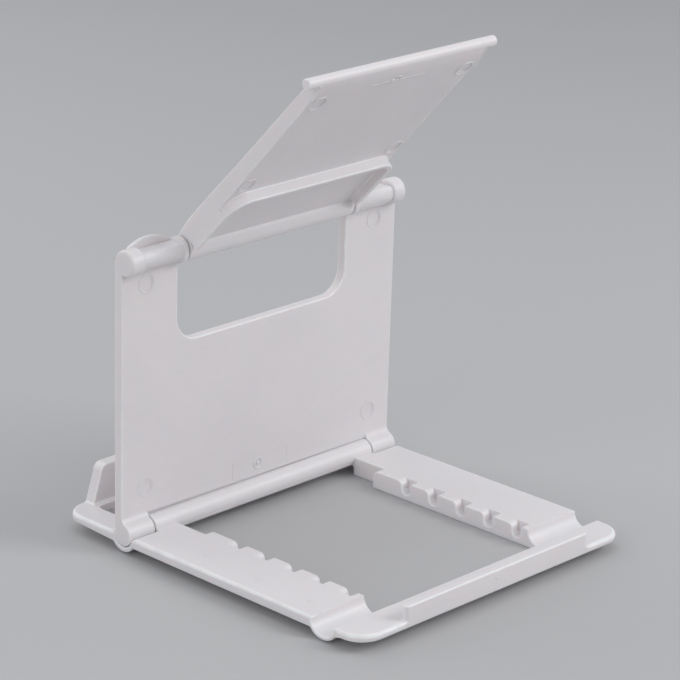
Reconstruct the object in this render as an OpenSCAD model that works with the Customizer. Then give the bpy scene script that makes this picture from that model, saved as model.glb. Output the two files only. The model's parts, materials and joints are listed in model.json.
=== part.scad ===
// Folding tablet stand: a notched base frame, a windowed back plate and a ribbed support leg,
// joined by two hinge pins. Shown opened out, with the leg swung up behind the plate.
// Millimetres, +Z up, +Y to the rear. The origin is on the table under the middle of the base.

/* [Base frame] */
// Width of the base and of the back plate
stand_w = 113; // [108:1:124]
// Depth of the base, front to rear
base_d = 129.4; // [128.4:0.2:131.4]
// Height of the rail tops, and of the lower hinge axis, above the table
rail_top = 6; // [5.9:0.1:6.4]
// Thickness of the flange that forms the edge all round
flange_t = 2.9; // [2.4:0.1:3.2]
// Radius of the corners in plan
corner_r = 8; // [4:0.5:12]
// Distance from the front edge to the lower hinge axis
hinge_setback = 28.3; // [27.8:0.1:29.8]
// Height of the raised lip on the rear crossbar, above the corner plates
lip_h = 4.5; // [2:0.5:6]
// Height of the front hooks above the rail tops
hook_h = 12; // [8:0.5:16]
// Thickness of the front hooks
hook_t = 4; // [3:0.25:4.5]

/* [Notches] */
// Number of notches in each rail
notch_count = 5; // [3:1:5]
// Distance between neighbouring notches
notch_pitch = 11.65; // [9:0.05:11.65]
// Distance from the lower hinge axis to the first notch
notch_start = 29.5; // [28:0.5:30]

/* [Back plate] */
// Thickness of the back plate
plate_t = 3.3; // [2.6:0.1:3.4]
// Distance between the two hinge axes
axis_span = 85.7; // [85.3:0.1:85.8]
// Height of the window's lower edge above the lower hinge axis
window_bottom = 56; // [55:0.5:57]
// Backward lean of the plate in degrees
plate_lean = 1.6; // [0:0.2:10]

/* [Support leg] */
// Distance from the upper hinge axis to the middle of the foot rod
leg_len = 82.5; // [82:0.1:82.6]
// Angle of the leg from the vertical in degrees, to the rear
leg_tilt = 45.4; // [30:0.2:80]
// Radius of the foot rod that drops into the notches
rod_r = 1.65; // [1.4:0.05:1.7]

/* [Hinges] */
// Radius of the lower hinge barrel
low_r = 3.6; // [3.4:0.05:3.6]
// Radius of the upper hinge barrel on the leg
top_r = 3.9; // [3.7:0.05:3.95]
// Radius of the steel hinge pins
pin_r = 1.25; // [1:0.05:1.4]

/* [Hidden] */
$fn = 96;
e = 0.5;                                  // overshoot of a cutter past the face it opens
abs_white = "whitesmoke";
run_clear = 0.05;                         // radial clearance of a barrel turning on its pin

// Base, in the hinge frame: y = 0 and z = rail_top on the lower hinge axis
half_w = stand_w / 2;
front_y = -hinge_setback;
rear_y = base_d - hinge_setback;
flange_z = rail_top - flange_t;
plate_top = rail_top - 0.4;               // corner plates and crossbar sit a little lower
tooth_x = 34.8;                           // inner faces of the toothed blocks
notch_x = tooth_x + 3.3;                  // end walls of the notches, and the set-back rail edge
wall_x = 42;                              // outer side of the deep inner walls
wall_y = 3;                               // ... and where they start, behind the barrel
teeth_y = 14.9;                           // front of the toothed blocks
bar_y = 89.8;                             // inner edge of the rear crossbar
bar_wall_t = 2.6;
notch_r = 1.8;
notch_z = rail_top - 4.1 + notch_r;       // centre of a notch's round bottom

// Lower hinge: barrel on the base, knuckles on the plate, cradles under the knuckles
barrel_x = 46;
knuckle_x = 46.5;
cradle_r = low_r + 0.3;
cradle_wall = 1.45;
cradle_lead = 1.2;                        // chamfer at the cradles' mouths

// Valley across each rail, which takes the upper knuckles when the stand is folded
valley_r = 4.35;
valley_wall = 1.15;
valley_ys = [axis_span - 0.7, axis_span];

// Front ledge
hook_out_x = 47.2;
hook_in_x = 20;
hook_slope = 4.2;                         // how far each hook side leans in over its height
slot_in_x = 22;
slot_out_x = 47.3;
slot_y0 = front_y + hook_t + 1.7;
slot_y1 = -9;
foot_wall_t = 2;

// Rear lip
lip_x = 38.5;
lip_t = 2.4;

// Back plate, in the plate frame: y = z = 0 on the lower axis, the plate standing upright
back_v = -low_r;                          // device side
front_v = back_v + plate_t;               // side that faces the leg
plate_bottom = low_r + 0.45;
window_x = 34.8;
window_r = 8;
collar_r = 4.1;                           // upper knuckles, flush with the device side
top_v = back_v + collar_r;
neck_r = 3.5;
neck_flat = 2.5;                          // height of the flat in front of the fin, above the axis
collar_in_x = 34.6;
neck_x0 = 36.2;
neck_x1 = 51.2;
fin_t = 1.3;
fin_r = 14;
fin_top = 5.3;                            // above the upper hinge axis
fin_x = 44.4;
mark_r = 2.3;                             // ejector marks
mark_depth = 0.18;
plate_marks = [[47.2, 13], [47.2, 77.6]];

// Support leg, in the leg frame: y = z = 0 on the upper axis, the leg standing upright,
// its ribbed side towards +Y
leg_x = 33.8;
barrel_half = 33.6;
leg_back = -5.3;
leg_front_0 = 0.9;                        // ribbed side at the hinge end ...
leg_front_1 = -1.3;                       // ... and at the rod
rod_x = 37.9;
slope_len = 3.6;                          // the ribbed side slopes back to the rod over this length
rod_v = -3.85;
rib_top = 3.55;
rib_end = axis_span - window_bottom - 0.3;
rib_start = 4.3;
rib_t = 1.8;
rib_r = window_r - 0.6;
leg_marks = [[30, 33.5], [29.7, 74.5]];

// Pins run from the open end at -X to a closed end inside the +X knuckle
pin_open_x = -half_w + 0.4;
pin_blind_x = half_w - 3.2;

// One child on each side of the middle plane
module both_sides() {
    children();
    mirror([1, 0, 0]) children();
}

// A round bar along X from x0 to x1
module bar_x(r, x0, x1, y = 0, z = 0) {
    translate([x0, y, z]) rotate([0, 90, 0]) cylinder(r = r, h = x1 - x0);
}

// A profile drawn as (y, z) and extruded along X from x0 to x1
module along_x(x0, x1) {
    translate([x0, 0, 0]) rotate([90, 0, 90]) linear_extrude(x1 - x0) children();
}

module rounded_rect(x0, y0, x1, y1, r) {
    square_w = x1 - x0 - 2 * r;
    square_d = y1 - y0 - 2 * r;
    translate([x0 + r, y0]) square([square_w, y1 - y0]);
    translate([x0, y0 + r]) square([x1 - x0, square_d]);
    for (x = [x0 + r, x1 - r], y = [y0 + r, y1 - r]) translate([x, y]) circle(r);
}

// ---- Base frame -------------------------------------------------------------------------

module base_plan() {
    rounded_rect(-half_w, front_y, half_w, rear_y, corner_r);
}

// The opening between the rails: set back near the hinge, narrower along the teeth
module window_plan() {
    translate([-notch_x, 0]) square([2 * notch_x, teeth_y]);
    translate([-tooth_x, 0]) square([2 * tooth_x, bar_y]);
}

// One notch as (y, z): round bottom, a wide lead-in towards the hinge, a small one behind
module notch_profile() {
    lead = 1.8;
    back = 0.8;
    translate([0, notch_z]) circle(notch_r);
    translate([-notch_r, notch_z]) square([2 * notch_r, rail_top - notch_z + e]);
    difference() {
        translate([-notch_r - lead, rail_top - lead]) square([lead + notch_r, lead + e]);
        translate([-notch_r - lead, rail_top - lead]) circle(lead);
    }
    difference() {
        translate([0, rail_top - back]) square([notch_r + back, back + e]);
        translate([notch_r + back, rail_top - back]) circle(back);
    }
}

// Rounds off the upper front corner of each toothed block
module tooth_front_profile() {
    round_r = 2.4;
    difference() {
        translate([teeth_y - e, rail_top - round_r]) square([round_r + e, round_r + e]);
        translate([teeth_y + round_r, rail_top - round_r]) circle(round_r);
    }
}

// The half of its children that lies below the rail tops
module below_rails() {
    intersection() {
        children();
        translate([-half_w, front_y, 0]) cube([stand_w, base_d, rail_top]);
    }
}

// Chamfered mouth of a cradle as (y, z)
module cradle_mouth_profile() {
    for (side = [-1, 1]) polygon([
        [side * (cradle_r + cradle_lead), rail_top], [side * cradle_r * 0.9, rail_top + e],
        [side * cradle_r * 0.9, rail_top - cradle_lead]
    ]);
}

// A round trough or ridge across the valley, r from its two centre lines
module valley_bar(r, x0, x1) {
    for (y = valley_ys) bar_x(r, x0, x1, y, rail_top);
    translate([x0, valley_ys[0], rail_top - r])
        cube([x1 - x0, valley_ys[1] - valley_ys[0], 2 * r]);
}

module hook() {
    tip_r = 3;
    top_z = rail_top + hook_h;
    lean = hook_slope * (hook_h - tip_r) / hook_h;
    rotate([90, 0, 0]) translate([0, 0, -front_y - hook_t]) linear_extrude(hook_t) {
        polygon([
            [hook_in_x, flange_z], [hook_out_x, flange_z], [hook_out_x, rail_top],
            [hook_out_x - lean, top_z - tip_r], [hook_in_x + lean, top_z - tip_r],
            [hook_in_x, rail_top]
        ]);
        translate([hook_in_x + lean + tip_r, top_z - 2 * tip_r])
            square([hook_out_x - hook_in_x - 2 * lean - 2 * tip_r, 2 * tip_r]);
        translate([hook_in_x + lean + tip_r, top_z - tip_r]) circle(tip_r);
        translate([hook_out_x - lean - tip_r, top_z - tip_r]) circle(tip_r);
    }
}

// Deep walls under the flange, which the stand rests on
module base_walls() {
    both_sides() {
        translate([tooth_x, wall_y, 0])
            cube([wall_x - tooth_x, bar_y + bar_wall_t - wall_y, flange_z + e]);
        translate([slot_out_x + 1, front_y + hook_t - 1, 0])
            cube([foot_wall_t, -front_y - hook_t - 2, flange_z + e]);
    }
    translate([-wall_x, bar_y, 0]) cube([2 * wall_x, bar_wall_t, flange_z + e]);
    translate([-slot_out_x - 1 - foot_wall_t, front_y + hook_t - 1, 0])
        cube([2 * (slot_out_x + 1 + foot_wall_t), foot_wall_t, flange_z + e]);
}

module rear_lip() {
    lip_z = plate_top + lip_h;
    translate([0, rear_y - lip_t / 2, flange_z]) linear_extrude(lip_z - flange_z)
        rounded_rect(-lip_x, -lip_t / 2, lip_x, lip_t / 2, lip_t / 2 - 0.05);
}

module base_frame() {
    color(abs_white) translate([0, base_shift_y, 0]) {
        base_body();
        rear_lip();
    }
}

module base_body() {
    difference() {
        union() {
            translate([0, 0, flange_z]) linear_extrude(flange_t) base_plan();
            base_walls();
            bar_x(low_r, -barrel_x, barrel_x, 0, rail_top);
            both_sides() {
                below_rails() {
                    bar_x(cradle_r + cradle_wall, barrel_x - 0.5, half_w, 0, rail_top);
                    valley_bar(valley_r + valley_wall, wall_x - 1, half_w);
                }
                hook();
            }
        }
        both_sides() {
            bar_x(cradle_r, barrel_x, half_w + e, 0, rail_top);
            along_x(barrel_x, half_w + e) cradle_mouth_profile();
            valley_bar(valley_r, tooth_x - e, half_w + e);
            along_x(tooth_x - e, notch_x) for (i = [0 : notch_count - 1])
                translate([notch_start + i * notch_pitch, 0]) notch_profile();
            along_x(tooth_x - e, notch_x) tooth_front_profile();
            translate([slot_in_x, slot_y0, -e]) linear_extrude(rail_top + 2 * e)
                rounded_rect(0, 0, slot_out_x - slot_in_x, slot_y1 - slot_y0, 2.4);
        }
        // corner plates and crossbar, lower than the rails
        translate([-half_w - e, valley_ys[1], plate_top])
            cube([stand_w + 2 * e, rear_y - valley_ys[1] + e, 1]);
        // opening between the rails, behind the barrel
        difference() {
            translate([0, 0, -e]) linear_extrude(rail_top + 2 * e) window_plan();
            bar_x(low_r, -barrel_x, barrel_x, 0, rail_top);
        }
        bar_x(pin_r + run_clear, -barrel_x - e, barrel_x + e, 0, rail_top);
        // parting groove along the rear of the barrel
        bar_x(0.3, -notch_x, notch_x, low_r * cos(27), rail_top - low_r * sin(27));
    }
}

// ---- Back plate -------------------------------------------------------------------------

// Side profile of a lower knuckle as (y, z), with the fillet that runs up into the plate
module lower_knuckle_profile() {
    fillet_r = 2.5;
    fillet_z = sqrt(pow(fillet_r + low_r, 2) - pow(fillet_r + front_v, 2));
    touch = low_r / (fillet_r + low_r);
    circle(low_r);
    translate([back_v, 0]) square([plate_t, fillet_z]);
    difference() {
        polygon([[back_v, 0], [(front_v + fillet_r) * touch, fillet_z * touch], [front_v, fillet_z]]);
        translate([front_v + fillet_r, fillet_z]) circle(fillet_r);
    }
}

// Upper knuckle along X: outer collar with rounded rims, slimmer neck, inner collar
module upper_knuckle() {
    rim = 0.9;
    difference() {
        translate([0, top_v, axis_span]) rotate([0, 90, 0]) rotate_extrude() {
            translate([0, collar_in_x]) square([collar_r, neck_x0 - collar_in_x]);
            translate([0, neck_x0]) square([neck_r, neck_x1 - neck_x0]);
            translate([0, neck_x1]) square([collar_r - rim, half_w - neck_x1]);
            translate([0, neck_x1 + rim]) square([collar_r, half_w - neck_x1 - 2 * rim]);
            for (x = [neck_x1 + rim, half_w - rim]) translate([collar_r - rim, x]) circle(rim);
        }
        translate([neck_x0, back_v + fin_t, axis_span + neck_flat])
            cube([neck_x1 - neck_x0, 3 * collar_r, collar_r]);
    }
}

// Thumb fin behind the neck, flush with the device side, its top edge an arc
module thumb_fin() {
    intersection() {
        translate([fin_x, back_v + fin_t, axis_span + fin_top - fin_r]) rotate([90, 0, 0])
            cylinder(r = fin_r, h = fin_t);
        translate([neck_x0 - 1, back_v, axis_span - collar_r])
            cube([neck_x1 - neck_x0 + 2, fin_t, 3 * collar_r]);
    }
}

module plate_outline() {
    top_z = axis_span;
    difference() {
        translate([-half_w, plate_bottom]) square([stand_w, top_z - plate_bottom]);
        translate([-window_x, window_bottom + window_r])
            square([2 * window_x, top_z - window_bottom]);
        translate([-window_x + window_r, window_bottom])
            square([2 * (window_x - window_r), top_z - window_bottom]);
        for (x = [-1, 1]) translate([x * (window_x - window_r), window_bottom + window_r])
            circle(window_r);
    }
}

module back_plate() {
    color(abs_white) lower_axis() difference() {
        union() {
            translate([0, front_v, 0]) rotate([90, 0, 0]) linear_extrude(plate_t) plate_outline();
            both_sides() {
                along_x(knuckle_x, half_w) lower_knuckle_profile();
                upper_knuckle();
                thumb_fin();
            }
        }
        bar_x(pin_r, -half_w - e, pin_blind_x);
        bar_x(pin_r, -half_w - e, pin_blind_x, top_v, axis_span);
        both_sides() for (m = plate_marks)
            translate([m[0], front_v + e, m[1]]) rotate([90, 0, 0])
                cylinder(r = mark_r, h = e + mark_depth);
    }
}

// ---- Support leg ------------------------------------------------------------------------

// Side profile of the leg as (y, z): a wedge from the barrel that runs smoothly into the rod
module leg_profile() {
    slope_z = leg_len - slope_len;
    dv = rod_v - leg_front_1;
    touch = acos(rod_r / norm([dv, slope_len])) - atan2(slope_len, -dv);
    circle(top_r);
    polygon([
        [-top_r, 0], [leg_back + 0.3, 8], [leg_back, 16], [leg_back, leg_len],
        [rod_v + rod_r * cos(touch), leg_len + rod_r * sin(touch)], [leg_front_1, slope_z],
        [leg_front_0, 0]
    ]);
    translate([rod_v, leg_len]) circle(rod_r);
}

// The rib's outline as (x, z), open towards the hinge
module rib_outline(inset) {
    x = leg_x - inset;
    r = rib_r - inset;
    z1 = rib_end - inset;
    translate([-x, rib_start - 2 * inset]) square([2 * x, z1 - r - rib_start + 2 * inset]);
    translate([-x + r, rib_start - 2 * inset]) square([2 * (x - r), z1 - rib_start + 2 * inset]);
    for (side = [-1, 1]) translate([side * (x - r), z1 - r]) circle(r);
}

module rib() {
    rib_root = leg_front_1;
    translate([0, rib_top, 0]) rotate([90, 0, 0]) linear_extrude(rib_top - rib_root)
        difference() {
            rib_outline(0);
            rib_outline(rib_t);
        }
}

module support_leg() {
    color(abs_white) upper_axis() difference() {
        union() {
            intersection() {
                along_x(-leg_x, leg_x) leg_profile();
                // the barrel is a little narrower than the leg's plate
                union() {
                    translate([-leg_x, -2 * top_r, 0.9]) cube([2 * leg_x, 4 * top_r, 2 * leg_len]);
                    bar_x(3 * top_r, -barrel_half, barrel_half);
                }
            }
            bar_x(rod_r, -rod_x, rod_x, rod_v, leg_len);
            rib();
        }
        bar_x(pin_r + run_clear, -leg_x - e, leg_x + e);
        for (m = leg_marks) both_sides() {
            y = leg_front_0 + (leg_front_1 - leg_front_0) * m[1] / leg_len;
            translate([m[0], y + e, m[1]]) rotate([90, 0, 0])
                cylinder(r = mark_r, h = e + mark_depth);
        }
    }
}

// ---- Hinge pins -------------------------------------------------------------------------

module hinge_pin() {
    tip = 0.3;
    translate([pin_open_x, 0, 0]) rotate([0, 90, 0]) rotate_extrude() polygon([
        [0, 0], [pin_r - tip, 0], [pin_r, tip],
        [pin_r, pin_blind_x - pin_open_x - 0.4], [pin_r - tip, pin_blind_x - pin_open_x - 0.1],
        [0, pin_blind_x - pin_open_x - 0.1]
    ]);
}

module lower_hinge_pin() {
    color("silver") lower_axis() hinge_pin();
}

module upper_hinge_pin() {
    color("silver") lower_axis() translate([0, top_v, axis_span]) hinge_pin();
}

// ---- Placing ----------------------------------------------------------------------------

base_shift_y = hinge_setback - base_d / 2;

// Plate frame to world: tilted back about the lower axis
module lower_axis() {
    translate([0, base_shift_y, rail_top]) rotate([-plate_lean, 0, 0]) children();
}

// Leg frame to world: on the upper axis, tilted back by the leg's own angle
module upper_axis() {
    lower_axis() translate([0, top_v, axis_span]) rotate([plate_lean - leg_tilt, 0, 0]) children();
}

base_frame();
back_plate();
support_leg();
lower_hinge_pin();
upper_hinge_pin();
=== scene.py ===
"""Finished mouldings, hinge pins and studio for a folding tablet stand.

Every size is in metres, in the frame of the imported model: +Z up, +Y to the rear, +X along the
hinge pins, and the origin on the table under the middle of the base.
"""

import json
from math import pi, radians

import bmesh
import bpy
from bpy.props import (
    FloatProperty,
    FloatVectorProperty,
    IntProperty,
    PointerProperty,
)
from bpy.types import Operator, Panel, PropertyGroup
from mathutils import Matrix, Vector


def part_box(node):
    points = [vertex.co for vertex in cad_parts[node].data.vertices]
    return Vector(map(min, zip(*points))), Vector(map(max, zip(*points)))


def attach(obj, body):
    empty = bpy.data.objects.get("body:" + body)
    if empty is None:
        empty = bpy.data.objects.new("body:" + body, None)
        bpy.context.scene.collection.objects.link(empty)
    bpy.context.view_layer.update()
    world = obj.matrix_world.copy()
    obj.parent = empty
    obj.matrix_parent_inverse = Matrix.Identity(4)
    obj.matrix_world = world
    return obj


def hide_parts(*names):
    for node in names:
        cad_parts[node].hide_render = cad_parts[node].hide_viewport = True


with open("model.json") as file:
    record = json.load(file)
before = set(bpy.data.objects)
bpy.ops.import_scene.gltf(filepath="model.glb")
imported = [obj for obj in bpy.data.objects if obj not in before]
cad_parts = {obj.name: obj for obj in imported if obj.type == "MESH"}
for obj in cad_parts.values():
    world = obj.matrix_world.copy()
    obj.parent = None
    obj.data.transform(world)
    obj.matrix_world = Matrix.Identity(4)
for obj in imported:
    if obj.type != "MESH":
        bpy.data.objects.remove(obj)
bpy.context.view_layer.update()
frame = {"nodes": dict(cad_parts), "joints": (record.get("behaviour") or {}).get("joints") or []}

bl_info = {
    "name": "Folding Tablet Stand",
    "version": (1, 0, 0),
    "blender": (4, 5, 0),
    "location": "3D View > Sidebar > Stand",
    "description": "Builds the mouldings, the hinge pins and the studio of a folding tablet stand",
    "category": "Object",
}

HINGES = {joint["name"]: Vector(joint["pos_m"]) for joint in frame["joints"]}

# Where the plastic entered the mould: in the plate's own frame and in the leg's
PLATE_GATE = Vector((0.001, -0.0003, 0.0081))
LEG_GATE = Vector((0.002, -0.0014, 0.0799))


# ---- Settings ---------------------------------------------------------------------------


class StandMouldingSettings(PropertyGroup):
    """Roundings and moulding marks of the three plastic parts"""

    edge_radius: FloatProperty(
        name="Edge radius",
        description="Rounding of every ordinary edge of a moulding",
        default=0.00042,
        min=0.0001,
        max=0.0008,
        unit="LENGTH",
    )
    rim_radius: FloatProperty(
        name="Rim radius",
        description="Rounding of the base frame's outer rim",
        default=0.00105,
        min=0.0002,
        max=0.0013,
        unit="LENGTH",
    )
    edge_steps: IntProperty(
        name="Edge steps",
        description="Number of faces across a rounding",
        default=3,
        min=1,
        max=6,
    )
    plate_lean: FloatProperty(
        name="Plate lean",
        description="Backward lean of the back plate at rest",
        default=radians(1.6),
        subtype="ANGLE",
        unit="ROTATION",
    )
    leg_tilt: FloatProperty(
        name="Leg tilt",
        description="Angle of the support leg from the vertical at rest",
        default=radians(45.4),
        subtype="ANGLE",
        unit="ROTATION",
    )
    ejector_radius: FloatProperty(
        name="Ejector mark radius",
        description="Radius of the witness rings that the ejector pins leave",
        default=0.0029,
        unit="LENGTH",
    )
    witness_line: FloatProperty(
        name="Witness line",
        description="Half the width of a witness line or ring",
        default=0.00016,
        unit="LENGTH",
    )
    gate_radius: FloatProperty(
        name="Gate radius",
        description="Radius of the trimmed gate on the back plate",
        default=0.0017,
        unit="LENGTH",
    )


class StandFinishSettings(PropertyGroup):
    """Colours and surface of the plastic and the steel"""

    plastic_colour: FloatVectorProperty(
        name="Plastic",
        description="Colour of the white plastic",
        subtype="COLOR",
        size=4,
        min=0.0,
        max=1.0,
        default=(0.845, 0.815, 0.822, 1.0),
    )
    plastic_roughness: FloatProperty(
        name="Plastic roughness",
        description="Roughness of the satin faces",
        default=0.36,
        min=0.05,
        max=1.0,
        subtype="FACTOR",
    )
    translucency: FloatProperty(
        name="Translucency",
        description="How much light the thin plastic lets through",
        default=0.3,
        min=0.0,
        max=1.0,
        subtype="FACTOR",
    )
    grain_size: FloatProperty(
        name="Grain size",
        description="Size of the fine grain that the mould leaves",
        default=0.00032,
        unit="LENGTH",
    )
    grain_depth: FloatProperty(
        name="Grain depth",
        description="Strength of the fine grain",
        default=0.25,
        min=0.0,
        max=1.0,
        subtype="FACTOR",
    )
    steel_colour: FloatVectorProperty(
        name="Pin steel",
        description="Colour of the hinge pins",
        subtype="COLOR",
        size=4,
        min=0.0,
        max=1.0,
        default=(0.56, 0.555, 0.55, 1.0),
    )


class StandStudioSettings(PropertyGroup):
    """Floor, lights and camera"""

    floor_colour: FloatVectorProperty(
        name="Floor",
        description="Colour of the floor",
        subtype="COLOR",
        size=4,
        min=0.0,
        max=1.0,
        default=(0.52, 0.52, 0.525, 1.0),
    )
    floor_size: FloatProperty(
        name="Floor size",
        description="Side of the square floor",
        default=9.0,
        unit="LENGTH",
    )
    ambient: FloatProperty(
        name="Ambient",
        description="Strength of the light from all round",
        default=0.46,
        min=0.0,
    )
    top_power: FloatProperty(
        name="Top light",
        description="Power of the large softbox overhead, in watts",
        default=1.2,
        min=0.0,
    )
    key_power: FloatProperty(
        name="Key light",
        description="Power of the softbox behind the base, in watts",
        default=4.0,
        min=0.0,
    )
    fill_power: FloatProperty(
        name="Fill light",
        description="Power of the softbox beside the stand, in watts",
        default=1.9,
        min=0.0,
    )
    front_power: FloatProperty(
        name="Front light",
        description="Power of the softbox before the hooks, in watts",
        default=2.2,
        min=0.0,
    )
    camera_place: FloatVectorProperty(
        name="Camera place",
        description="Where the camera stands",
        subtype="XYZ",
        unit="LENGTH",
        default=(0.58367, 0.58585, 0.35356),
    )
    camera_turn: FloatVectorProperty(
        name="Camera turn",
        description="Which way the camera looks",
        subtype="EULER",
        unit="ROTATION",
        default=(radians(70.67), radians(-0.44), radians(135.34)),
    )
    camera_lens: FloatProperty(
        name="Lens",
        description="Focal length on a 36 mm wide sensor, in millimetres",
        default=156.26,
        min=20.0,
    )


# ---- Helpers for meshes -----------------------------------------------------------------


def plate_frame():
    """Back plate's own frame in the row frame: z up the plate from the lower hinge."""
    lean = bpy.context.scene.stand_moulding.plate_lean
    return Matrix.Translation(HINGES["plate_hinge"]) @ Matrix.Rotation(-lean, 4, "X")


def leg_frame():
    """Support leg's own frame: z along the leg from the upper hinge, y to its ribbed side."""
    tilt = bpy.context.scene.stand_moulding.leg_tilt
    return Matrix.Translation(HINGES["leg_hinge"]) @ Matrix.Rotation(-tilt, 4, "X")


def new_piece(name, bm, body, material):
    """Makes an object of a finished bmesh that rides on a body and takes its slot's finish."""
    mesh = bpy.data.meshes.new(name)
    bm.to_mesh(mesh)
    bm.free()
    piece = bpy.data.objects.new(name, mesh)
    bpy.context.scene.collection.objects.link(piece)
    mesh.materials.append(material)
    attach(piece, body)
    return piece


def face_reach(face, edge):
    """How far a face reaches from one of its edges, at right angles to it."""
    start, end = (vert.co for vert in edge.verts)
    across = face.normal.cross((end - start).normalized())
    return max(abs((vert.co - start).dot(across)) for vert in face.verts)


def can_round(edge, radius, crisp):
    """Whether an edge is sharp, has room for its rounding and lies outside the crisp zones."""
    if len(edge.link_faces) != 2:
        return False
    if not radians(30) < edge.calc_face_angle() < radians(150):
        return False
    middle = (edge.verts[0].co + edge.verts[1].co) / 2
    if any(all(low[i] <= middle[i] <= high[i] for i in range(3)) for low, high in crisp):
        return False
    return all(face_reach(face, edge) > 2.2 * radius for face in edge.link_faces)


def round_edges(bm, edges, radius):
    """Rounds the edges and marks the corners of the new faces in a loop attribute, the mask of the
    edge polish and painted highlight.
    """
    corners = bm.loops.layers.float
    polish_and_highlight = corners.get("edge_polish") or corners.new("edge_polish")
    result = bmesh.ops.bevel(
        bm,
        geom=edges,
        offset=radius,
        offset_type="OFFSET",
        affect="EDGES",
        segments=bpy.context.scene.stand_moulding.edge_steps,
        profile=0.5,
        material=-1,
        clamp_overlap=False,
        loop_slide=True,
    )
    for face in result["faces"]:
        for loop in face.loops:
            loop[polish_and_highlight] = 1.0
    bm.normal_update()


def settle_normals(piece):
    """Keeps large faces flat-looking beside their roundings."""
    piece.data.polygons.foreach_set("use_smooth", [True] * len(piece.data.polygons))
    piece.data.set_sharp_from_angle(angle=radians(35))
    weighted = piece.modifiers.new("Flat faces", "WEIGHTED_NORMAL")
    weighted.mode = "FACE_AREA"
    weighted.weight = 100
    weighted.keep_sharp = True


def zone(x, y, z, reach):
    """The two corners of a box about a point, by its reach along each axis."""
    return Vector((x, y, z)) - Vector(reach), Vector((x, y, z)) + Vector(reach)


def rounded_moulding(node, name, body, material, rim=None, crisp=(), cuts=()):
    """Copies a moulding of the frame, rounds its edges and puts the copy in its place.

    The rim edges get the larger radius, the edges inside the crisp zones none, and a cut
    across x gives a rim a clean place to end at.
    """
    sizes = bpy.context.scene.stand_moulding
    bm = bmesh.new()
    bm.from_mesh(frame["nodes"][node].data)
    bmesh.ops.remove_doubles(bm, verts=bm.verts, dist=2e-6)
    bmesh.ops.dissolve_limit(bm, angle_limit=radians(0.6), verts=bm.verts, edges=bm.edges)
    for x in cuts:
        whole = bm.verts[:] + bm.edges[:] + bm.faces[:]
        bmesh.ops.bisect_plane(bm, geom=whole, plane_co=(x, 0, 0), plane_no=(1, 0, 0))
    bm.normal_update()
    if rim is not None:
        edges = [e for e in bm.edges if rim(e) and can_round(e, sizes.rim_radius, crisp)]
        round_edges(bm, edges, sizes.rim_radius)
    edges = [e for e in bm.edges if can_round(e, sizes.edge_radius, crisp)]
    round_edges(bm, edges, sizes.edge_radius)
    piece = new_piece(name, bm, body, material)
    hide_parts(node)
    settle_normals(piece)
    return piece


def linked(verts, kind):
    """The edges or faces that meet at some vertices, once each and in a fixed order."""
    return list(dict.fromkeys(item for vert in verts for item in getattr(vert, kind)))


def add_ring(bm, place, radius, line):
    """A half-sunk witness ring about the z axis of a place."""
    section = bmesh.ops.create_circle(bm, segments=8, radius=line)["verts"]
    turn = Matrix.Translation((radius, 0, 0)) @ Matrix.Rotation(pi / 2, 4, "X")
    bmesh.ops.transform(bm, matrix=turn, verts=section)
    edges = linked(section, "link_edges")
    before = set(bm.verts) - set(section)
    bmesh.ops.spin(
        bm,
        geom=section + edges,
        cent=(0, 0, 0),
        axis=(0, 0, 1),
        angle=2 * pi,
        steps=40,
        use_merge=True,
    )
    ring = [vert for vert in bm.verts if vert not in before]
    bmesh.ops.transform(bm, matrix=place, verts=ring)


def add_button(bm, place, radius, height):
    """A low round button with a soft rim, standing on the z axis of a place."""
    made = bmesh.ops.create_cone(
        bm,
        cap_ends=True,
        segments=24,
        radius1=radius,
        radius2=radius * 0.9,
        depth=2 * height,
    )["verts"]
    edges = linked(made, "link_edges")
    rim = [edge for edge in edges if all(vert.co.z > 0 for vert in edge.verts)]
    before = set(bm.verts) - set(made)
    bmesh.ops.bevel(
        bm,
        geom=rim,
        offset=height * 0.6,
        offset_type="OFFSET",
        affect="EDGES",
        segments=3,
        profile=0.5,
        material=-1,
    )
    made = [vert for vert in bm.verts if vert not in before]
    bmesh.ops.transform(bm, matrix=place, verts=made)


def add_strip(bm, place, start, end, line):
    """A straight witness line between two points in the xy plane of a place."""
    start, end = Vector((*start, 0)), Vector((*end, 0))
    along = end - start
    made = bmesh.ops.create_cube(bm, size=1)["verts"]
    size = Matrix.Diagonal((along.length + line, line, line * 0.8, 1))
    turn = along.to_track_quat("X", "Z").to_matrix().to_4x4()
    bmesh.ops.transform(
        bm, matrix=place @ Matrix.Translation((start + end) / 2) @ turn @ size, verts=made
    )


def add_outline(bm, place, half_width, low, high, line):
    """The witness line of a rectangular mould insert."""
    corners = [(-half_width, low), (half_width, low), (half_width, high), (-half_width, high)]
    for i, corner in enumerate(corners):
        add_strip(bm, place, corner, corners[(i + 1) % 4], line)


def add_pointer(bm, place, radius, height):
    """A plain raised triangle that points along the y axis of a place."""
    before = set(bm.verts)
    made = bmesh.ops.create_circle(bm, cap_ends=True, segments=3, radius=radius)["verts"]
    bmesh.ops.translate(bm, vec=(0, 0, -height), verts=made)
    caps = linked(made, "link_faces")
    grown = bmesh.ops.extrude_face_region(bm, geom=caps)["geom"]
    top = [item for item in grown if isinstance(item, bmesh.types.BMVert)]
    bmesh.ops.translate(bm, vec=(0, 0, 2 * height), verts=top)
    made = [vert for vert in bm.verts if vert not in before]
    bmesh.ops.transform(bm, matrix=place, verts=made)


# ---- Helpers for materials --------------------------------------------------------------


def put(tree, kind, place, **values):
    """Adds a node and sets its attributes and, by socket name, its inputs."""
    node = tree.nodes.new(kind)
    node.location = place
    for name, value in values.items():
        if hasattr(node, name):
            setattr(node, name, value)
        else:
            node.inputs[name.replace("_", " ")].default_value = value
    return node


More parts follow.
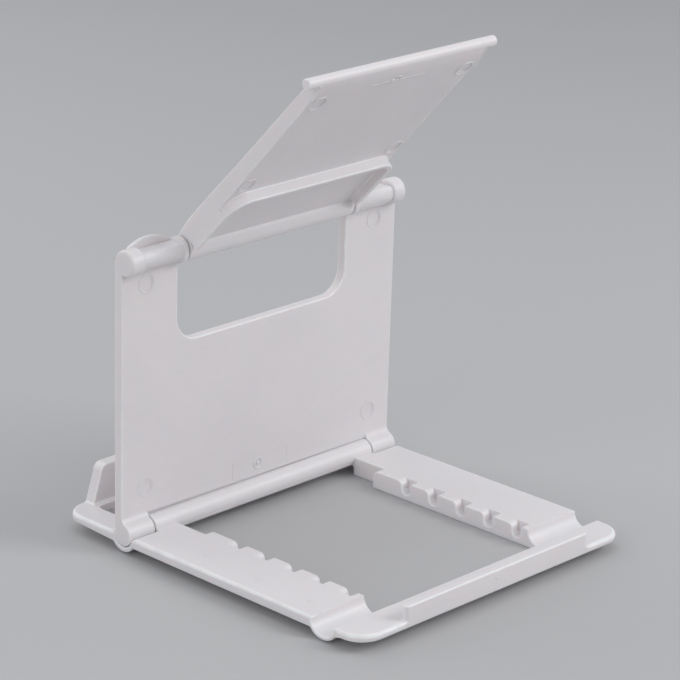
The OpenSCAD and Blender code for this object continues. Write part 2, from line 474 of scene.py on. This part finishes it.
def new_group(name, inputs, outputs):
    """A shader node group with named sockets, and its input and output nodes."""
    tree = bpy.data.node_groups.new(name, "ShaderNodeTree")
    for label, kind, value in inputs:
        socket = tree.interface.new_socket(label, in_out="INPUT", socket_type=kind)
        if value is not None:
            socket.default_value = value
    for label, kind in outputs:
        tree.interface.new_socket(label, in_out="OUTPUT", socket_type=kind)
    start = put(tree, "NodeGroupInput", (-900, 0))
    end = put(tree, "NodeGroupOutput", (700, 0))
    return tree, start, end


def place_group(tree, group, place, **values):
    """Places a node group in a material with its own values."""
    node = put(tree, "ShaderNodeGroup", place, node_tree=group)
    for name, value in values.items():
        node.inputs[name.replace("_", " ")].default_value = value
    return node


def maths(tree, operation, place, first, second, clamp=False):
    """A Math node of two inputs, each a socket or a number."""
    node = put(tree, "ShaderNodeMath", place, operation=operation, use_clamp=clamp)
    for socket, value in zip(node.inputs, (first, second)):
        if isinstance(value, (int, float)):
            socket.default_value = value
        else:
            tree.links.new(value, socket)
    return node.outputs["Value"]


def noise(tree, place, vector, size, detail=2.0, roughness=0.5):
    """A noise whose patches are about size across, a socket or a number in metres."""
    node = put(
        tree, "ShaderNodeTexNoise", place, Detail=detail, Roughness=roughness
    )
    tree.links.new(vector, node.inputs["Vector"])
    if isinstance(size, (int, float)):
        node.inputs["Scale"].default_value = 1 / size
    else:
        scale = maths(tree, "DIVIDE", (place[0] - 180, place[1]), 1.0, size)
        tree.links.new(scale, node.inputs["Scale"])
    return node.outputs["Fac"]


def stretch(tree, place, value, low, high, out_low=0.0, out_high=1.0):
    """A clamped Map Range of a value."""
    node = put(tree, "ShaderNodeMapRange", place, clamp=True)
    node.inputs["From Min"].default_value = low
    node.inputs["From Max"].default_value = high
    node.inputs["To Min"].default_value = out_low
    node.inputs["To Max"].default_value = out_high
    tree.links.new(value, node.inputs["Value"])
    return node.outputs["Result"]


def mix_colour(tree, place, factor, first, second, blend="MIX"):
    """A colour mix, each colour a socket or four numbers."""
    node = put(tree, "ShaderNodeMix", place, data_type="RGBA", blend_type=blend)
    sockets = (node.inputs[0], node.inputs[6], node.inputs[7])
    for socket, value in zip(sockets, (factor, first, second)):
        if isinstance(value, bpy.types.NodeSocket):
            tree.links.new(value, socket)
        else:
            socket.default_value = value
    return node.outputs[2]


def mould_grain_group():
    """Height of the fine grain and slow ripple that the mould leaves in the plastic."""
    tree, start, end = new_group(
        "Mould Grain",
        [
            ("Vector", "NodeSocketVector", None),
            ("Grain Size", "NodeSocketFloat", 0.0003),
            ("Grain Depth", "NodeSocketFloat", 0.3),
            ("Ripple Size", "NodeSocketFloat", 0.006),
            ("Ripple Depth", "NodeSocketFloat", 0.5),
        ],
        [("Height", "NodeSocketFloat")],
    )
    vector = start.outputs["Vector"]
    grain = noise(tree, (-500, 200), vector, start.outputs["Grain Size"], 3.0, 0.6)
    ripple = noise(tree, (-500, -150), vector, start.outputs["Ripple Size"], 1.0, 0.4)
    grain = maths(tree, "MULTIPLY", (-200, 200), grain, start.outputs["Grain Depth"])
    ripple = maths(tree, "MULTIPLY", (-200, -150), ripple, start.outputs["Ripple Depth"])
    height = maths(tree, "ADD", (100, 0), grain, ripple)
    tree.links.new(height, end.inputs["Height"])
    return tree


def plastic_tone_group():
    """Colour of the plastic with soft patches and faint flow lines out of its gate."""
    tree, start, end = new_group(
        "Plastic Tone",
        [
            ("Vector", "NodeSocketVector", None),
            ("Colour", "NodeSocketColor", (0.8, 0.8, 0.8, 1)),
            ("Gate", "NodeSocketVector", None),
            ("Patch Size", "NodeSocketFloat", 0.03),
            ("Variation", "NodeSocketFloat", 0.5),
        ],
        [("Colour", "NodeSocketColor"), ("Gloss", "NodeSocketFloat")],
    )
    vector, colour = start.outputs["Vector"], start.outputs["Colour"]
    patches = noise(tree, (-600, 300), vector, start.outputs["Patch Size"], 2.0)
    from_gate = put(tree, "ShaderNodeVectorMath", (-700, -200), operation="SUBTRACT")
    tree.links.new(vector, from_gate.inputs[0])
    tree.links.new(start.outputs["Gate"], from_gate.inputs[1])
    heading = put(tree, "ShaderNodeVectorMath", (-520, -200), operation="NORMALIZE")
    tree.links.new(from_gate.outputs["Vector"], heading.inputs[0])
    flow = noise(tree, (-340, -200), heading.outputs["Vector"], 0.06, 2.0)
    flow = stretch(tree, (-160, -200), flow, 0.35, 0.65)
    patches = stretch(tree, (-400, 300), patches, 0.3, 0.7)
    both = maths(tree, "MULTIPLY_ADD", (0, 100), flow, 0.35)
    tree.links.new(patches, both.node.inputs[2])
    amount = maths(tree, "MULTIPLY", (160, 100), both, start.outputs["Variation"])
    cooler = mix_colour(tree, (300, 250), 1.0, colour, (0.945, 0.95, 0.965, 1), "MULTIPLY")
    toned = mix_colour(tree, (480, 200), amount, colour, cooler)
    tree.links.new(toned, end.inputs["Colour"])
    tree.links.new(amount, end.inputs["Gloss"])
    return tree


def edge_polish_and_highlight_group():
    """Mask of the roundings, broken up along their length, for handling polish and a painted edge
    highlight.
    """
    tree, start, end = new_group(
        "Edge Polish",
        [
            ("Vector", "NodeSocketVector", None),
            ("Edge", "NodeSocketFloat", 0.0),
            ("Break Up Size", "NodeSocketFloat", 0.005),
        ],
        [("Polish", "NodeSocketFloat")],
    )
    broken = noise(tree, (-500, 0), start.outputs["Vector"], start.outputs["Break Up Size"], 3.0)
    broken = stretch(tree, (-250, 0), broken, 0.3, 0.6, 0.35, 1.0)
    polish_and_highlight = maths(tree, "MULTIPLY", (0, 0), broken, start.outputs["Edge"], clamp=True)
    tree.links.new(polish_and_highlight, end.inputs["Polish"])
    return tree


def handling_group():
    """Masks of the hairline scratches and of the dust specks that a used stand carries."""
    tree, start, end = new_group(
        "Handling Marks",
        [
            ("Vector", "NodeSocketVector", None),
            ("Scratch Size", "NodeSocketFloat", 0.02),
            ("Speck Size", "NodeSocketFloat", 0.003),
        ],
        [("Scratches", "NodeSocketFloat"), ("Dust", "NodeSocketFloat")],
    )
    vector = start.outputs["Vector"]
    lines = []
    for place, turn in (((-650, 350), (0.3, 0.2, 0.5)), ((-650, 80), (1.1, -0.7, 2.2))):
        turned = put(tree, "ShaderNodeMapping", place, Rotation=turn, Scale=(1, 14, 14))
        tree.links.new(vector, turned.inputs["Vector"])
        size = start.outputs["Scratch Size"]
        line = noise(tree, (place[0] + 220, place[1]), turned.outputs["Vector"], size, 1.0)
        near = maths(tree, "SUBTRACT", (place[0] + 400, place[1]), line, 0.5)
        near = maths(tree, "ABSOLUTE", (place[0] + 540, place[1]), near, 0.0)
        lines.append(stretch(tree, (place[0] + 680, place[1]), near, 0.0, 0.006, 1.0, 0.0))
    scratches = maths(tree, "MAXIMUM", (200, 250), lines[0], lines[1])
    where = noise(tree, (-100, -50), vector, 0.012, 2.0)
    where = stretch(tree, (80, -50), where, 0.52, 0.62)
    scratches = maths(tree, "MULTIPLY", (400, 200), scratches, where)
    tree.links.new(scratches, end.inputs["Scratches"])
    cells = put(tree, "ShaderNodeTexVoronoi", (-300, -350), feature="F1")
    tree.links.new(vector, cells.inputs["Vector"])
    scale = maths(tree, "DIVIDE", (-500, -350), 1.0, start.outputs["Speck Size"])
    tree.links.new(scale, cells.inputs["Scale"])
    specks = stretch(tree, (-60, -300), cells.outputs["Distance"], 0.03, 0.07, 1.0, 0.0)
    chance = put(tree, "ShaderNodeSeparateColor", (-60, -520))
    tree.links.new(cells.outputs["Color"], chance.inputs["Color"])
    chosen = maths(tree, "GREATER_THAN", (120, -520), chance.outputs["Red"], 0.8)
    dust = maths(tree, "MULTIPLY", (320, -350), specks, chosen)
    tree.links.new(dust, end.inputs["Dust"])
    return tree


def drawn_wire_group():
    """Streaks along drawn wire, as a colour factor and a height."""
    tree, start, end = new_group(
        "Drawn Wire",
        [
            ("Vector", "NodeSocketVector", None),
            ("Streak Width", "NodeSocketFloat", 0.0001),
        ],
        [("Streaks", "NodeSocketFloat"), ("Stain", "NodeSocketFloat")],
    )
    along = put(tree, "ShaderNodeMapping", (-700, 100), Scale=(0.02, 1, 1))
    tree.links.new(start.outputs["Vector"], along.inputs["Vector"])
    streaks = noise(tree, (-350, 100), along.outputs["Vector"], start.outputs["Streak Width"], 3.0)
    stain = noise(tree, (-350, -200), start.outputs["Vector"], 0.002, 4.0, 0.65)
    tree.links.new(streaks, end.inputs["Streaks"])
    tree.links.new(stretch(tree, (-100, -200), stain, 0.5, 0.75), end.inputs["Stain"])
    return tree


GROUP_MAKERS = {
    "Mould Grain": mould_grain_group,
    "Plastic Tone": plastic_tone_group,
    "Edge Polish": edge_polish_and_highlight_group,
    "Handling Marks": handling_group,
    "Drawn Wire": drawn_wire_group,
}


def group(name):
    """The named node group, built when it is first asked for."""
    return bpy.data.node_groups.get(name) or GROUP_MAKERS[name]()


def new_material(name):
    """A material with its node tree, its shader and its Object coordinates."""
    material = bpy.data.materials.new(name)
    material.use_nodes = True
    tree = material.node_tree
    shader = tree.nodes["Principled BSDF"]
    shader.location = (500, 0)
    tree.nodes["Material Output"].location = (800, 0)
    coordinates = put(tree, "ShaderNodeTexCoord", (-900, 0)).outputs["Object"]
    return material, tree, shader, coordinates


def moulded_plastic(name, gate, tone=1.0, solid=False):
    """White satin plastic of one moulding, whose flow lines start at its own gate.

    Solid plastic lets no light through, for details too thin to hold any.
    """
    finish = bpy.context.scene.stand_finish
    material, tree, shader, coordinates = new_material(name)
    colour = [channel * tone for channel in finish.plastic_colour[:3]] + [1.0]
    toned = place_group(
        tree, group("Plastic Tone"), (-600, 300), Colour=colour, Gate=gate, Variation=0.5
    )
    grain = place_group(
        tree,
        group("Mould Grain"),
        (-600, -300),
        Grain_Size=finish.grain_size,
        Grain_Depth=finish.grain_depth,
    )
    edge = put(tree, "ShaderNodeAttribute", (-820, 80), attribute_name="edge_polish")
    polish_and_highlight = place_group(tree, group("Edge Polish"), (-600, 60))
    marks = place_group(tree, group("Handling Marks"), (-600, -100))
    for node in (toned, grain, polish_and_highlight, marks):
        tree.links.new(coordinates, node.inputs["Vector"])
    tree.links.new(edge.outputs["Fac"], polish_and_highlight.inputs["Edge"])

    # painted highlight: the roundings get a lighter colour, as well as the lower roughness of
    # polish below
    painted_highlight = maths(tree, "MULTIPLY", (-350, 120), polish_and_highlight.outputs["Polish"], 0.8)
    base = mix_colour(tree, (-200, 300), painted_highlight, toned.outputs["Colour"], (0.97, 0.965, 0.968, 1))
    dusty = maths(tree, "MULTIPLY", (-350, -40), marks.outputs["Dust"], 0.5)
    base = mix_colour(tree, (0, 250), dusty, base, (0.42, 0.41, 0.4, 1))
    tree.links.new(base, shader.inputs["Base Color"])

    rough = maths(tree, "MULTIPLY_ADD", (-100, 60), toned.outputs["Gloss"], 0.07)
    rough.node.inputs[2].default_value = finish.plastic_roughness
    scuffed = maths(tree, "MULTIPLY_ADD", (60, 40), marks.outputs["Scratches"], 0.16)
    tree.links.new(rough, scuffed.node.inputs[2])
    smoother = maths(tree, "MULTIPLY_ADD", (220, 20), polish_and_highlight.outputs["Polish"], -0.1)
    tree.links.new(scuffed, smoother.node.inputs[2])
    tree.links.new(smoother, shader.inputs["Roughness"])

    cut = maths(tree, "MULTIPLY_ADD", (-100, -200), marks.outputs["Scratches"], -0.2)
    tree.links.new(grain.outputs["Height"], cut.node.inputs[2])
    bump = put(tree, "ShaderNodeBump", (250, -250), Strength=0.35, Distance=0.00006)
    tree.links.new(cut, bump.inputs["Height"])
    tree.links.new(bump.outputs["Normal"], shader.inputs["Normal"])

    shader.inputs["Subsurface Weight"].default_value = 0 if solid else finish.translucency
    shader.inputs["Subsurface Radius"].default_value = (1.0, 0.66, 0.5)
    shader.inputs["Subsurface Scale"].default_value = 0.003
    shader.inputs["IOR"].default_value = 1.53
    return material


def pin_steel(name):
    """Drawn steel wire with faint stains, for the hinge pins."""
    finish = bpy.context.scene.stand_finish
    material, tree, shader, coordinates = new_material(name)
    wire = place_group(tree, group("Drawn Wire"), (-500, 0))
    tree.links.new(coordinates, wire.inputs["Vector"])
    colour = finish.steel_colour[:]
    base = mix_colour(tree, (-200, 250), wire.outputs["Streaks"], colour, (0.42, 0.42, 0.42, 1))
    base = mix_colour(tree, (0, 250), wire.outputs["Stain"], base, (0.33, 0.29, 0.25, 1))
    tree.links.new(base, shader.inputs["Base Color"])
    rough = stretch(tree, (-100, 0), wire.outputs["Streaks"], 0.2, 0.8, 0.24, 0.42)
    tree.links.new(rough, shader.inputs["Roughness"])
    bump = put(tree, "ShaderNodeBump", (200, -200), Strength=0.3, Distance=0.00002)
    tree.links.new(wire.outputs["Streaks"], bump.inputs["Height"])
    tree.links.new(bump.outputs["Normal"], shader.inputs["Normal"])
    shader.inputs["Metallic"].default_value = 1.0
    return material


def studio_floor(name):
    """Plain pale paper with a very fine tooth."""
    studio = bpy.context.scene.stand_studio
    material, tree, shader, coordinates = new_material(name)
    tooth = noise(tree, (-500, -200), coordinates, 0.0006, 3.0)
    cloud = noise(tree, (-500, 200), coordinates, 0.5, 2.0)
    pale = studio.floor_colour[:]
    deeper = [channel * 0.96 for channel in pale[:3]] + [1.0]
    tree.links.new(mix_colour(tree, (0, 200), cloud, pale, deeper), shader.inputs["Base Color"])
    bump = put(tree, "ShaderNodeBump", (200, -200), Strength=0.12, Distance=0.0001)
    tree.links.new(tooth, bump.inputs["Height"])
    tree.links.new(bump.outputs["Normal"], shader.inputs["Normal"])
    shader.inputs["Roughness"].default_value = 0.7
    return material


# ---- Operators --------------------------------------------------------------------------


class STAND_OT_base_frame(Operator):
    """Round the base frame's edges and give it its plastic"""

    bl_idname = "stand.base_frame"
    bl_label = "Base Frame"

    def execute(self, context):
        low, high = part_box("base_frame")
        outer = 0.0001
        corner = 0.0085
        flange_low, flange_high = 0.003, 0.0062

        def on_rim(edge):
            """Whether an edge runs along the flange's outer outline, above the foot walls."""
            for vert in edge.verts:
                x, y, z = vert.co
                from_side = high.x - abs(x)
                from_end = min(high.y - y, y - low.y)
                in_corner = from_side < corner and from_end < corner
                if z < flange_low or z > flange_high:
                    return False
                if not (from_side < outer or from_end < outer or in_corner):
                    return False
            return abs(edge.verts[0].co.z - edge.verts[1].co.z) < outer

        # the ends of the rear lip, and the edge that the rails share with their notches
        lip_end, lip_reach = 0.0382, 0.0013
        rail_edge = 0.0381
        crisp = []
        for side in (-1, 1):
            crisp.append(zone(side * lip_end, high.y, 0.0056, (lip_reach, 0.0009, 0.0007)))
            crisp.append(zone(side * rail_edge, 0.0, 0.0045, (0.0003, 0.0500, 0.0020)))
        plastic = moulded_plastic("Base plastic", gate=(0.0, high.y, 0.008))
        rounded_moulding(
            "base_frame",
            "base_moulding",
            "base",
            plastic,
            rim=on_rim,
            crisp=crisp,
            cuts=(-lip_end - lip_reach, lip_end + lip_reach),
        )
        return {"FINISHED"}


class STAND_OT_back_plate(Operator):
    """Round the back plate's edges and give it its plastic"""

    bl_idname = "stand.back_plate"
    bl_label = "Back Plate"

    def execute(self, context):
        low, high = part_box("back_plate")
        middle = (low.y + high.y) / 2
        # the fins with their necks, and the root of each lower knuckle's inner face
        fin = Vector((0.0436, middle, high.z))
        root = Vector((0.0465, -0.0363, 0.0109))
        crisp = []
        for side in (-1, 1):
            crisp.append(zone(side * fin.x, fin.y, fin.z, (0.0086, 0.02, 0.013)))
            crisp.append(zone(side * root.x, root.y, root.z, (0.0003, 0.0005, 0.0011)))
        gate = plate_frame() @ PLATE_GATE
        plastic = moulded_plastic("Plate plastic", gate=gate, tone=0.985)
        rounded_moulding(
            "back_plate", "plate_moulding", "plate", plastic, crisp=crisp
        )
        return {"FINISHED"}


class STAND_OT_support_leg(Operator):
    """Round the support leg's edges and give it its plastic"""

    bl_idname = "stand.support_leg"
    bl_label = "Support Leg"

    def execute(self, context):
        gate = leg_frame() @ LEG_GATE
        plastic = moulded_plastic("Leg plastic", gate=gate, tone=0.99)
        # the rib's outer corners, where its root runs out into the side of the leg
        corner = leg_frame() @ Vector((0.0335, 0.0002, 0.0236))
        crisp = [
            zone(side * corner.x, corner.y, corner.z, (0.0006, 0.0014, 0.0014))
            for side in (-1, 1)
        ]
        rounded_moulding(
            "support_leg", "leg_moulding", "leg", plastic, crisp=crisp
        )
        return {"FINISHED"}


class STAND_OT_hinge_pins(Operator):
    """Give the two hinge pins their drawn steel"""

    bl_idname = "stand.hinge_pins"
    bl_label = "Hinge Pins"

    def execute(self, context):
        steel = pin_steel("Pin steel")
        for node in ("lower_hinge_pin", "upper_hinge_pin"):
            for material_slot in frame["nodes"][node].material_slots:
                material_slot.material = steel
        return {"FINISHED"}


class STAND_OT_moulding_marks(Operator):
    """Add the ejector rings, gates and insert lines that moulding leaves on the parts"""

    bl_idname = "stand.moulding_marks"
    bl_label = "Moulding Marks"

    def execute(self, context):
        sizes = context.scene.stand_moulding
        self.plastic = moulded_plastic("Mark plastic", gate=(0.0, 0.0, 0.0), solid=True)
        self.mark_plate(sizes)
        self.mark_leg(sizes)
        self.mark_base()
        return {"FINISHED"}

    def mark_plate(self, sizes):
        """Marks on the side of the back plate that faces the leg."""
        line = sizes.witness_line
        upright = Matrix.Rotation(-pi / 2, 4, "X")
        surface = Matrix.Translation((0, PLATE_GATE.y, 0))
        # on the face, x runs along the hinge and -y up the plate
        face = plate_frame() @ surface @ upright
        ring_x = 0.0472
        bm = bmesh.new()
        for up in (0.013, 0.0776):
            for side in (-1, 1):
                place = face @ Matrix.Translation((side * ring_x, -up, 0))
                add_ring(bm, place, sizes.ejector_radius, line)
        gate = face @ Matrix.Translation((PLATE_GATE.x, -PLATE_GATE.z, 0))
        add_ring(bm, gate, sizes.gate_radius, 1.8 * line)
        add_button(bm, gate, 0.35 * sizes.gate_radius, 2 * line)
        insert_half_width, insert_top, insert_bottom = 0.0115, 0.0104, 0.0054
        add_outline(bm, face, insert_half_width, -insert_top, -insert_bottom, line)
        new_piece("plate_marks", bm, "plate", self.plastic)

    def mark_leg(self, sizes):
        """Marks on the ribbed side of the support leg."""
        line = sizes.witness_line
        upright = Matrix.Rotation(-pi / 2, 4, "X")
        surface = Matrix.Translation((0, 0.0009, 0))
        taper = Matrix.Rotation(0.0267, 4, "X")
        # on the face, x runs along the hinge and -y towards the foot rod
        face = leg_frame() @ surface @ taper @ upright
        bm = bmesh.new()
        for x, along in ((0.030, 0.0335), (0.0297, 0.0745)):
            for side in (-1, 1):
                place = face @ Matrix.Translation((side * x, -along, 0))
                add_ring(bm, place, sizes.ejector_radius, line)
        vent = 0.0009
        insert_end, insert_half_width = 0.0775, 0.0107
        add_button(bm, face @ Matrix.Translation((0.0022, -insert_end, 0)), vent, 0.0003)
        add_ring(bm, face @ Matrix.Translation((0.0005, -0.0785, 0)), vent, 0.0002)
        ends = ((-insert_half_width, -insert_end), (insert_half_width, -insert_end))
        add_strip(bm, face, *ends, line)
        new_piece("leg_marks", bm, "leg", self.plastic)

    def mark_base(self):
        """Gate on the rear lip and plain pointers on the rail."""
        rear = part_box("base_frame")[1].y
        rail_top = HINGES["plate_hinge"].z
        rail_middle = 0.0485
        bm = bmesh.new()
        to_rear = Matrix.Rotation(-pi / 2, 4, "X")
        add_button(bm, Matrix.Translation((0.0013, rear, 0.0078)) @ to_rear, 0.0006, 0.00015)
        for y in (-0.0069, 0.0150, 0.0370):
            place = Matrix.Translation((rail_middle, y, rail_top))
            add_pointer(bm, place @ Matrix.Rotation(pi / 2, 4, "Z"), 0.0016, 0.00008)
        new_piece("base_marks", bm, "base", self.plastic)


class STAND_OT_studio(Operator):
    """Set up the floor, the soft lights and the camera"""

    bl_idname = "stand.studio"
    bl_label = "Studio"

    def execute(self, context):
        studio = context.scene.stand_studio
        self.lay_floor(studio)
        middle = Vector((0, 0, 0.06))
        # name, place, side of the square and power of each softbox
        for name, place, size, power in (
            ("Top softbox", (-0.15, -0.1, 0.95), 0.9, studio.top_power),
            ("Key softbox", (-0.5, 0.7, 0.6), 0.5, studio.key_power),
            ("Fill softbox", (0.9, 0.1, 0.45), 0.7, studio.fill_power),
            ("Front softbox", (0.1, -0.85, 0.55), 0.7, studio.front_power),
        ):
            self.hang_softbox(name, Vector(place), middle, size, power)
        world = bpy.data.worlds.new("Soft studio")
        world.use_nodes = True
        background = world.node_tree.nodes["Background"]
        background.inputs["Color"].default_value = (0.93, 0.95, 1.0, 1.0)
        background.inputs["Strength"].default_value = studio.ambient
        context.scene.world = world
        context.scene.view_settings.view_transform = "Standard"
        self.set_camera(studio)
        return {"FINISHED"}

    def lay_floor(self, studio):
        """The square sheet of pale paper that the stand rests on."""
        bm = bmesh.new()
        bmesh.ops.create_grid(bm, x_segments=8, y_segments=8, size=studio.floor_size / 2)
        mesh = bpy.data.meshes.new("studio_floor")
        bm.to_mesh(mesh)
        bm.free()
        mesh.materials.append(studio_floor("Floor paper"))
        floor = bpy.data.objects.new("studio_floor", mesh)
        bpy.context.scene.collection.objects.link(floor)

    def hang_softbox(self, name, place, target, size, power):
        """A square area light that faces its target."""
        light = bpy.data.lights.new(name, "AREA")
        light.shape = "SQUARE"
        light.size = size
        light.energy = power
        softbox = bpy.data.objects.new(name, light)
        softbox.location = place
        softbox.rotation_euler = (target - place).to_track_quat("-Z", "Y").to_euler()
        bpy.context.scene.collection.objects.link(softbox)

    def set_camera(self, studio):
        """The camera, and the view through it."""
        camera = bpy.data.cameras.new("View")
        camera.lens = studio.camera_lens
        camera.sensor_width = 36
        camera.clip_start = 0.05
        camera.clip_end = 20
        stand_view = bpy.data.objects.new("View", camera)
        stand_view.location = studio.camera_place
        stand_view.rotation_euler = studio.camera_turn
        bpy.context.scene.collection.objects.link(stand_view)
        bpy.context.scene.camera = stand_view


# ---- Panel and registration -------------------------------------------------------------


class STAND_PT_build(Panel):
    """Lists the steps that build the stand"""

    bl_idname = "STAND_PT_build"
    bl_label = "Folding Tablet Stand"
    bl_space_type = "VIEW_3D"
    bl_region_type = "UI"
    bl_category = "Stand"

    def draw(self, context):
        for operator in OPERATORS:
            self.layout.operator(operator.bl_idname)
        for settings in (
            context.scene.stand_moulding,
            context.scene.stand_finish,
            context.scene.stand_studio,
        ):
            box = self.layout.box()
            for name in settings.__annotations__:
                box.prop(settings, name)


OPERATORS = (
    STAND_OT_base_frame,
    STAND_OT_back_plate,
    STAND_OT_support_leg,
    STAND_OT_hinge_pins,
    STAND_OT_moulding_marks,
    STAND_OT_studio,
)
SETTINGS = {
    "stand_moulding": StandMouldingSettings,
    "stand_finish": StandFinishSettings,
    "stand_studio": StandStudioSettings,
}


def register():
    for cls in (*SETTINGS.values(), *OPERATORS, STAND_PT_build):
        bpy.utils.register_class(cls)
    for name, cls in SETTINGS.items():
        setattr(bpy.types.Scene, name, PointerProperty(type=cls))


def unregister():
    for name in SETTINGS:
        delattr(bpy.types.Scene, name)
    for cls in reversed((*SETTINGS.values(), *OPERATORS, STAND_PT_build)):
        bpy.utils.unregister_class(cls)


def main():
    register()
    bpy.ops.stand.base_frame()
    bpy.ops.stand.back_plate()
    bpy.ops.stand.support_leg()
    bpy.ops.stand.hinge_pins()
    bpy.ops.stand.moulding_marks()
    bpy.ops.stand.studio()


if __name__ == "__main__":
    main()
